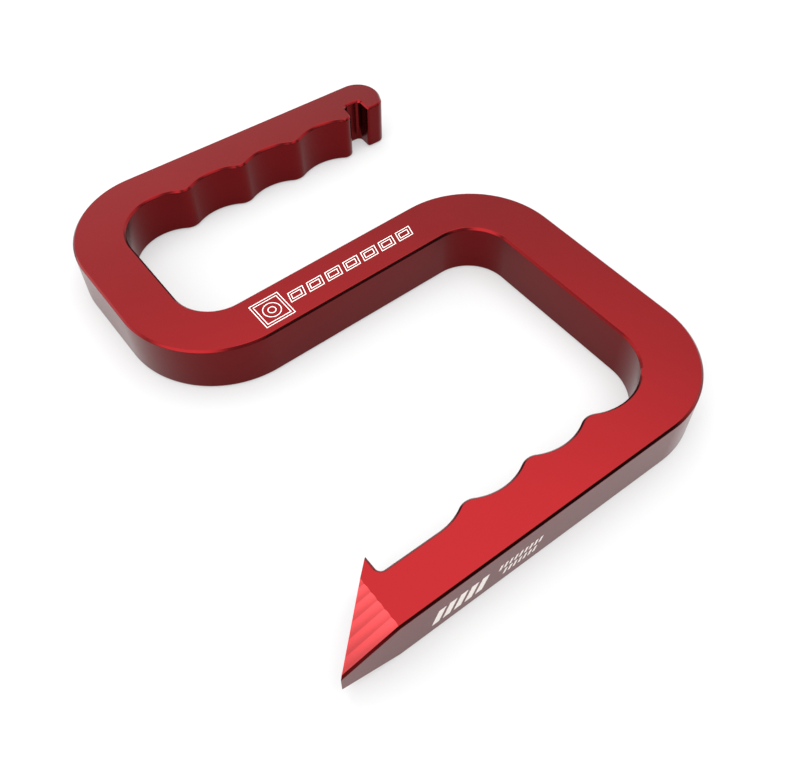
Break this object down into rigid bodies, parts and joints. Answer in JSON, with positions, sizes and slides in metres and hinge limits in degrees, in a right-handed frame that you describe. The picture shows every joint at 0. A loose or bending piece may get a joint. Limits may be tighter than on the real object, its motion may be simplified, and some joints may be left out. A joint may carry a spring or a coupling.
{
  "type": "rescue hand tool",
  "caption": "Flat S-shaped hand tool milled from red anodised aluminium plate, with finger-grooved grips, a slotted hook and a bevelled, barbed pick.",
  "frame": {"origin": "on the underside, below the centre of the middle bar", "axes": "+X along the middle bar towards the side bar that carries the pick's grip, +Y from the pick's grip to the hook's grip, +Z through the plate, up"},
  "size_m": [0.2071, 0.2731, 0.0254],
  "materials": {
    "anodised_plate": "satin red anodised, with a fine even grain and bright milled edge breaks"
  },
  "bodies": {
    "root": {"body": "anodised_plate"}
  },
  "joints": []
}
